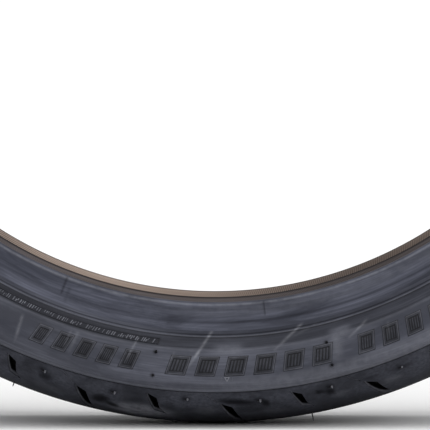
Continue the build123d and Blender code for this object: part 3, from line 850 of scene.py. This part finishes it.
def groove_outlines():
    """Rounded outline of each groove laid flat, with its share of the full depth."""
    outlines = []
    for corners, centre, deep in GROOVES:
        around = []
        for along, reach in corners:
            local = TREAD_CENTRE + TREAD_ARC * math.cos(reach / TREAD_ARC)
            around.append(laid_flat(centre + math.degrees(math.atan2(along, local)), reach))
        outlines.append((rounded(around, 0.25 if deep < 1 else 0.9), deep))
    return outlines


def top_surface(grooves):
    """One pitch of one half of the tread laid flat, with the grooves' outlines left open."""
    points, edges = [], []
    for column in range(COLUMNS + 1):
        for row in range(ROWS + 1):
            p = Vector((PITCH * MILLIMETRES_PER_DEGREE * column / COLUMNS, EDGE_REACH * row / ROWS))
            border = column in (0, COLUMNS) or row in (0, ROWS)
            clear = all(not inside(p, outline) and to_outline(p, outline) > 0.7 for outline, deep in grooves)
            if border or clear:
                points.append(p)
    for outline, deep in grooves:
        first = len(points)
        points += outline
        edges += [(first + i, first + (i + 1) % len(outline)) for i in range(len(outline))]
    flat_verts, _, flat_faces, _, _, _ = delaunay_2d_cdt(points, edges, [], 0, 1e-5)
    faces = []
    for face in flat_faces:
        middle = sum((flat_verts[i] for i in face), Vector((0, 0))) / len(face)
        if not any(inside(middle, outline) for outline, deep in grooves):
            faces.append(list(face))
    return flat_verts, faces


def sink_groove(outline, deep, rim, verts, faces):
    """Walls and floor of one groove, hung from the rim vertices and added to verts and faces."""
    directions = inward(outline)
    count = len(outline)
    clockwise = signed_area(outline) < 0
    previous = rim
    for inset, share, tone in WALL_RINGS:
        ring_points = []
        for p, (normal, room) in zip(outline, directions):
            q = p + normal * min(inset, 0.46 * room)
            reach = q[1]
            ring_points.append(len(verts))
            lit = share == LIT_SHARE and normal[0] > 0.55 and normal[1] > -0.5
            shade = LIT_WALL * normal[0] if lit else tone
            depth = floor_depth(reach) * share * deep
            verts.append((PATCH_START + q[0] / MILLIMETRES_PER_DEGREE, reach, depth, shade))
        for i in range(count):
            j = (i + 1) % count
            quad = [previous[i], previous[j], ring_points[j], ring_points[i]]
            faces.append(quad[::-1] if clockwise else quad)
        previous = ring_points
    floor_flat = [Vector((verts[i][0] * MILLIMETRES_PER_DEGREE, verts[i][1])) for i in previous]
    fill_edges = [(i, (i + 1) % count) for i in range(count)]
    floor_verts, _, floor_faces, _, _, _ = delaunay_2d_cdt(floor_flat, fill_edges, [], 1, 1e-6)
    if len(floor_verts) == count:
        faces += [[previous[i] for i in face] for face in floor_faces]
    else:
        faces.append(previous[::-1] if clockwise else previous)


def half_patch():
    """One pitch of one half of the tread: vertices as (angle, reach, depth, tone) and faces."""
    grooves = groove_outlines()
    flat_verts, faces = top_surface(grooves)
    verts = [(PATCH_START + p[0] / MILLIMETRES_PER_DEGREE, p[1], 0.0, 0.0) for p in flat_verts]
    lookup = {key_of(p): i for i, p in enumerate(flat_verts)}
    for outline, deep in grooves:
        sink_groove(outline, deep, [lookup[key_of(p)] for p in outline], verts, faces)
    return verts, faces


SMUDGES_AND_SHADE = (  # dark smears, and painted shade on the right of the tread: angle, reach, half length in mm, half width, tilt in degrees, strength
    (-12.7, 43.0, 5.2, 6.5, -30.0, 1.0), (-11.3, 37.0, 5.5, 3.0, -35.0, 1.0),
    (-19.3, 52.0, 4.5, 5.0, 0.0, 0.8),
    (5.6, 51.5, 3.0, 5.5, 20.0, 1.0), (2.6, 54.5, 13.0, 3.6, -12.0, 1.0), (12.9, 52.5, 3.0, 4.5, 20.0, 1.0),
    (11.7, 54.5, 2.6, 2.6, 0.0, 1.0), (4.0, 45.0, 11.0, 6.5, 8.0, 0.6), (-5.2, 47.0, 5.0, 6.0, 0.0, 0.4),
    (-8.6, 50.0, 6.0, 4.0, 0.0, 0.25), (-15.6, 50.0, 5.0, 6.0, 0.0, 0.25), (21.5, 55.0, 9.0, 2.0, 0.0, 0.6),
    (17.5, 56.0, 6.0, 1.6, 4.0, 0.5),
)
SCUFFS_AND_PAINTED_LIGHT = (  # the same, for paler patches: rubbed scuffs, and a broad painted light on the lower left of the tread
    (-1.0, 43.0, 7.0, 6.0, 10.0, 0.16), (6.5, 38.0, 9.0, 3.5, -10.0, 0.12),
    (14.0, 46.0, 5.0, 5.0, 20.0, 0.14), (20.0, 44.0, 6.0, 5.0, 0.0, 0.20),
    (-8.0, 34.0, 18.0, 11.0, 0.0, 0.75), (-18.5, 36.0, 9.0, 7.0, 0.0, 0.10),
)
WEAK_REPEAT = 0.4  # strength on the repeats away from straight down of the scuffs, the painted light on the lower left and the painted shade along the bottom
TREAD_VENT_ANGLE = -3.1
TREAD_VENT_REACH = 58.2
VENT_STAGGER = 2.5


def patch(marks, here, reach):
    best = 0.0
    for a, r, long, wide, tilt, strength in marks:
        x, y = gap(here, a) * MILLIMETRES_PER_DEGREE, reach - r
        if abs(x) > 3 * long:
            continue
        c, d = math.cos(math.radians(tilt)), math.sin(math.radians(tilt))
        u, v = (x * c + y * d) / long, (y * c - x * d) / wide
        best = max(best, strength * math.exp(-((u * u + v * v) ** 2.2)))
    return best


def paint_tread(angle, reach, tone):
    here = gap(angle, 0.0)
    local = in_sector(angle)
    smudge_and_shade = patch(SMUDGES_AND_SHADE, local, reach)
    strength = 1.0 if abs(here) < SECTOR / 2 else WEAK_REPEAT
    light = strength * patch(SCUFFS_AND_PAINTED_LIGHT, local, reach)
    # painted shade near the crown at the bottom, darkest near 14 degrees, five times round
    shade_lobe = 0.5 + 0.5 * math.sin(math.radians(here * 5.0 + 20.0))
    smudge_and_shade = max(smudge_and_shade, strength * bell(reach, 30.0) * (0.05 + 0.9 * shade_lobe * shade_lobe))
    # painted shadow of each tread vent's nub, a dark spot just to one side of it
    step = PITCH / 2
    near = gap(angle, TREAD_VENT_ANGLE + step * round((angle - TREAD_VENT_ANGLE) / step))
    away = math.hypot(near * MILLIMETRES_PER_DEGREE + 1.6, (reach - vent_reach(angle)) * 0.8)
    smudge_and_shade = max(smudge_and_shade, 0.95 * bell(away, 2.6))
    # groove walls and floors: painted groove shade, and a painted highlight on walls facing the light
    if tone:
        smudge_and_shade = 0.0
        light = max(0.0, -tone)
    return (light, smudge_and_shade, max(0.0, tone))


def vent_reach(angle):
    """Vents lie alternately nearer to and further from the tread edge."""
    step = round((angle - TREAD_VENT_ANGLE) / (PITCH / 2))
    return TREAD_VENT_REACH - VENT_STAGGER * (step % 2)


def build_tread():
    patch_verts, patch_faces = half_patch()
    verts, faces, paint = [], [], []
    for side, shift in ((-1, 0.0), (1, -PITCH / 2)):
        for step in range(PITCHES):
            base = len(verts)
            for angle, reach, depth, tone in patch_verts:
                turned = angle + shift + step * PITCH
                verts.append(tread_point(turned, reach, depth, side))
                paint.append(paint_tread(turned, reach, tone))
            for face in patch_faces:
                moved = [base + i for i in face]
                faces.append(moved if side < 0 else moved[::-1])
            # the tread's edge wall and its hidden underside
            edge = (TREAD_HALF_WIDTH, TREAD_CENTRE + TREAD_ARC * math.cos(EDGE_REACH / TREAD_ARC))
            rows = [edge, LEDGE, HEEL, polar((0, CASING_CENTRE), TREAD_BASE, 17.0),
                    (0.0, CASING_CENTRE + TREAD_BASE)]
            base = len(verts)
            for x, r in rows:
                for column in range(COLUMNS + 1):
                    turned = PATCH_START + shift + step * PITCH + PITCH * column / COLUMNS
                    verts.append(place(turned, x, r, side))
                    paint.append((0.0, 0.3, 0.0))
            for row in range(len(rows) - 1):
                for column in range(COLUMNS):
                    a = base + row * (COLUMNS + 1) + column
                    quad = [a, a + 1, a + COLUMNS + 2, a + COLUMNS + 1]
                    faces.append(quad[::-1] if side < 0 else quad)
    mesh = bpy.data.meshes.new("tread_skin")
    mesh.from_pydata(verts, [], faces)
    paint_points(mesh, paint)
    work = bmesh.new()
    work.from_mesh(mesh)
    bmesh.ops.remove_doubles(work, verts=work.verts, dist=0.00002)
    bmesh.ops.recalc_face_normals(work, faces=work.faces)
    work.to_mesh(mesh)
    work.free()
    return finish_piece("tread_skin", mesh, 38.0)


tread_skin = build_tread()
dress(tread_skin, TREAD_RUBBER)
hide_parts("tread")


# Vent nubs and moulding hairs ---------------------------------------------------------------------
def tube(verts, faces, root, direction, sway, length, radius, sides=8, rings=5):
    """Tapered, slightly bent rubber thread standing on the surface."""
    axis = Vector(direction).normalized()
    cross = axis.cross(Vector((0.3, 0.8, 0.5))).normalized()
    other = axis.cross(cross)
    base = len(verts)
    for ring_index in range(rings + 1):
        t = ring_index / rings
        centre = Vector(root) + axis * (t * length - 0.3 * (1 - t)) * MM
        centre += Vector(sway) * (t * t) * length * MM
        thick = radius * (1.35 - 0.5 * t if t < 0.9 else 0.55) * MM
        for k in range(sides):
            a = 2 * math.pi * k / sides
            verts.append(centre + (cross * math.cos(a) + other * math.sin(a)) * thick)
    for ring_index in range(rings):
        for k in range(sides):
            a = base + ring_index * sides + k
            b = base + ring_index * sides + (k + 1) % sides
            faces.append([a, b, b + sides, a + sides])
    faces.append([base + rings * sides + k for k in range(sides)])
    faces.append([base + k for k in range(sides)][::-1])


def outward(angle, offset_part, radius_part, side):
    turn = math.radians(angle)
    return (radius_part * math.sin(turn), side * offset_part, -radius_part * math.cos(turn))


HAIRS = {-22.2: 3.2, -5.84: 0.7, 10.52: 5.4}  # lengths of the threads seen at the bottom of the tread
HAIR_ANGLE = -5.84
HAIR_REACH = 21.0
SHADOW_STUB_SHIFT = 0.22  # painted shadow of a tread vent, a low black stub set in degrees and millimetres from the nub
SHADOW_STUB_DROP = 0.9
SHADOW_STUB_HEIGHT = 0.35
SHADOW_STUB_RADIUS = 0.8


def build_vents(side, hand):
    dice = random.Random(11)
    verts, faces, values = [], [], []
    for step in range(2 * PITCHES):
        angle = TREAD_VENT_ANGLE + step * PITCH / 2
        reach = vent_reach(angle)
        across = reach / TREAD_ARC
        direction = outward(angle, math.sin(across), math.cos(across), side)
        sway = [0.35 * (dice.random() - 0.5) for _ in range(3)]
        length = 0.9 + 1.1 * dice.random()
        tube(verts, faces, tread_point(angle, reach, 0.0, side), direction, sway, length, 0.55)
        # painted highlight: the tread vent nubs are pale
        values += [(0.75, 0.0, 0.0)] * (len(verts) - len(values))
        # a low black stub beside each nub stands in for its shadow
        root = tread_point(angle - SHADOW_STUB_SHIFT, reach - SHADOW_STUB_DROP, 0.0, side)
        tube(verts, faces, root, direction, (0.0, 0.0, 0.0), SHADOW_STUB_HEIGHT, SHADOW_STUB_RADIUS, rings=3)
        values += [(0.0, 1.0, 0.0)] * (len(verts) - len(values))
    nubs = mesh_piece(f"tread_vent_nubs_and_shadows_{hand}", verts, faces, values, 50.0)
    dress(nubs, VENT_RUBBER)
    verts, faces = [], []
    for step in range(PITCHES):
        angle = HAIR_ANGLE + step * PITCH
        seen = [length for a, length in HAIRS.items() if abs(gap(angle, a)) < 0.2]
        length = seen[0] if seen and side < 0 else 0.6 + 4.5 * dice.random() ** 2
        across = HAIR_REACH / TREAD_ARC
        direction = outward(angle, math.sin(across), math.cos(across), side)
        sway = [0.12 * (dice.random() - 0.5) for _ in range(3)]
        tube(verts, faces, tread_point(angle, HAIR_REACH, 0.0, side), direction, sway, length, 0.34)
    hairs = mesh_piece(f"tread_moulding_hairs_{hand}", verts, faces, None, 50.0)
    dress(hairs, VENT_RUBBER)
    verts, faces = [], []
    for step in range(SIDE_VENTS):
        for radius in SIDE_VENT_RADII:
            angle = SIDE_VENT_ANGLE + step * 360 / SIDE_VENTS
            x, r = on_side(radius)
            facing = math.radians(side_angle(radius))
            direction = outward(angle, math.sin(facing), math.cos(facing), side)
            sway = [0.5 * (dice.random() - 0.5) for _ in range(3)]
            tube(verts, faces, place(angle, x, r, side), direction, sway, 0.9 + 1.1 * dice.random(), 0.7)
    nubs = mesh_piece(f"sidewall_vent_nubs_{hand}", verts, faces, [(0.0, 1.0, 0.0)] * len(verts), 50.0)
    dress(nubs, VENT_RUBBER)


for side, hand in SIDES:
    build_vents(side, hand)

# CAD nodes that are shown as they are -------------------------------------------------------------
CORD_LAYERS = ("carcass_ply", "breaker_belt", "spiral_belt", "chafer")

for name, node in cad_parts.items():
    if name == "inner_liner":
        dress(node, LINER_RUBBER)
    elif name.startswith("bead_core"):
        dress(node, WIRE)
    elif name.startswith(CORD_LAYERS):
        dress(node, CORD_RUBBER)
    else:
        dress(node, INNER_RUBBER)

# Floor, light and camera --------------------------------------------------------------------------
FLOOR_Z = -CROWN_RADIUS * MM
bpy.ops.mesh.primitive_plane_add(size=120.0, location=(0, 0, FLOOR_Z))
floor = bpy.context.object
floor.name = "floor"
floor_look = Nodes("floor_look")
shade = floor_look.mix(floor_look.noise(0.6), colour(0.93, 0.93, 0.93), colour(0.95, 0.95, 0.95))
floor_look.put(floor_look.shader.inputs["Base Color"], shade)
floor_look.shader.inputs["Roughness"].default_value = 0.9
dress(floor, floor_look.material)

world = bpy.data.worlds.new("studio")
bpy.context.scene.world = world
world.use_nodes = True
LIGHTING = 0.42  # strength with which the white surroundings light the tyre; the camera sees them pure white
tree = world.node_tree
seen_world = tree.nodes["Background"]
seen_world.inputs["Color"].default_value = colour(1.0, 1.0, 1.0)
seen_world.inputs["Strength"].default_value = 1.0
lit_world = tree.nodes.new("ShaderNodeBackground")
lit_world.inputs["Color"].default_value = colour(1.0, 1.0, 1.0)
lit_world.inputs["Strength"].default_value = LIGHTING
path = tree.nodes.new("ShaderNodeLightPath")
blend = tree.nodes.new("ShaderNodeMixShader")
tree.links.new(path.outputs["Is Camera Ray"], blend.inputs["Fac"])
tree.links.new(lit_world.outputs["Background"], blend.inputs[1])
tree.links.new(seen_world.outputs["Background"], blend.inputs[2])
tree.links.new(blend.outputs["Shader"], tree.nodes["World Output"].inputs["Surface"])


def aimed(light, location, target):
    light.location = location
    light.rotation_euler = (Vector(target) - Vector(location)).to_track_quat("-Z", "Y").to_euler()
    bpy.context.scene.collection.objects.link(light)


def sun(name, towards_light, strength, spread):
    """Large soft source far away."""
    data = bpy.data.lights.new(name, "SUN")
    data.energy = strength
    data.angle = math.radians(spread)
    aimed(bpy.data.objects.new(name, data), [10 * v for v in towards_light], (0, 0, 0))


sun("key", (0.35, -0.75, 1.5), 2.8, 95.0)

LENS = 624.7
CAMERA_DISTANCE = 4.445
CAMERA_TILT = 2.494  # degrees below level
camera_data = bpy.data.cameras.new("camera")
camera_data.sensor_width = 36.0
camera_data.lens = LENS
camera_data.clip_end = 200.0
camera = bpy.data.objects.new("camera", camera_data)
camera.location = (0.0, -CAMERA_DISTANCE, 0.0)
camera.rotation_euler = (math.radians(90 - CAMERA_TILT), 0.0, 0.0)
bpy.context.scene.collection.objects.link(camera)
bpy.context.scene.camera = camera

bpy.context.scene.view_settings.view_transform = "Standard"
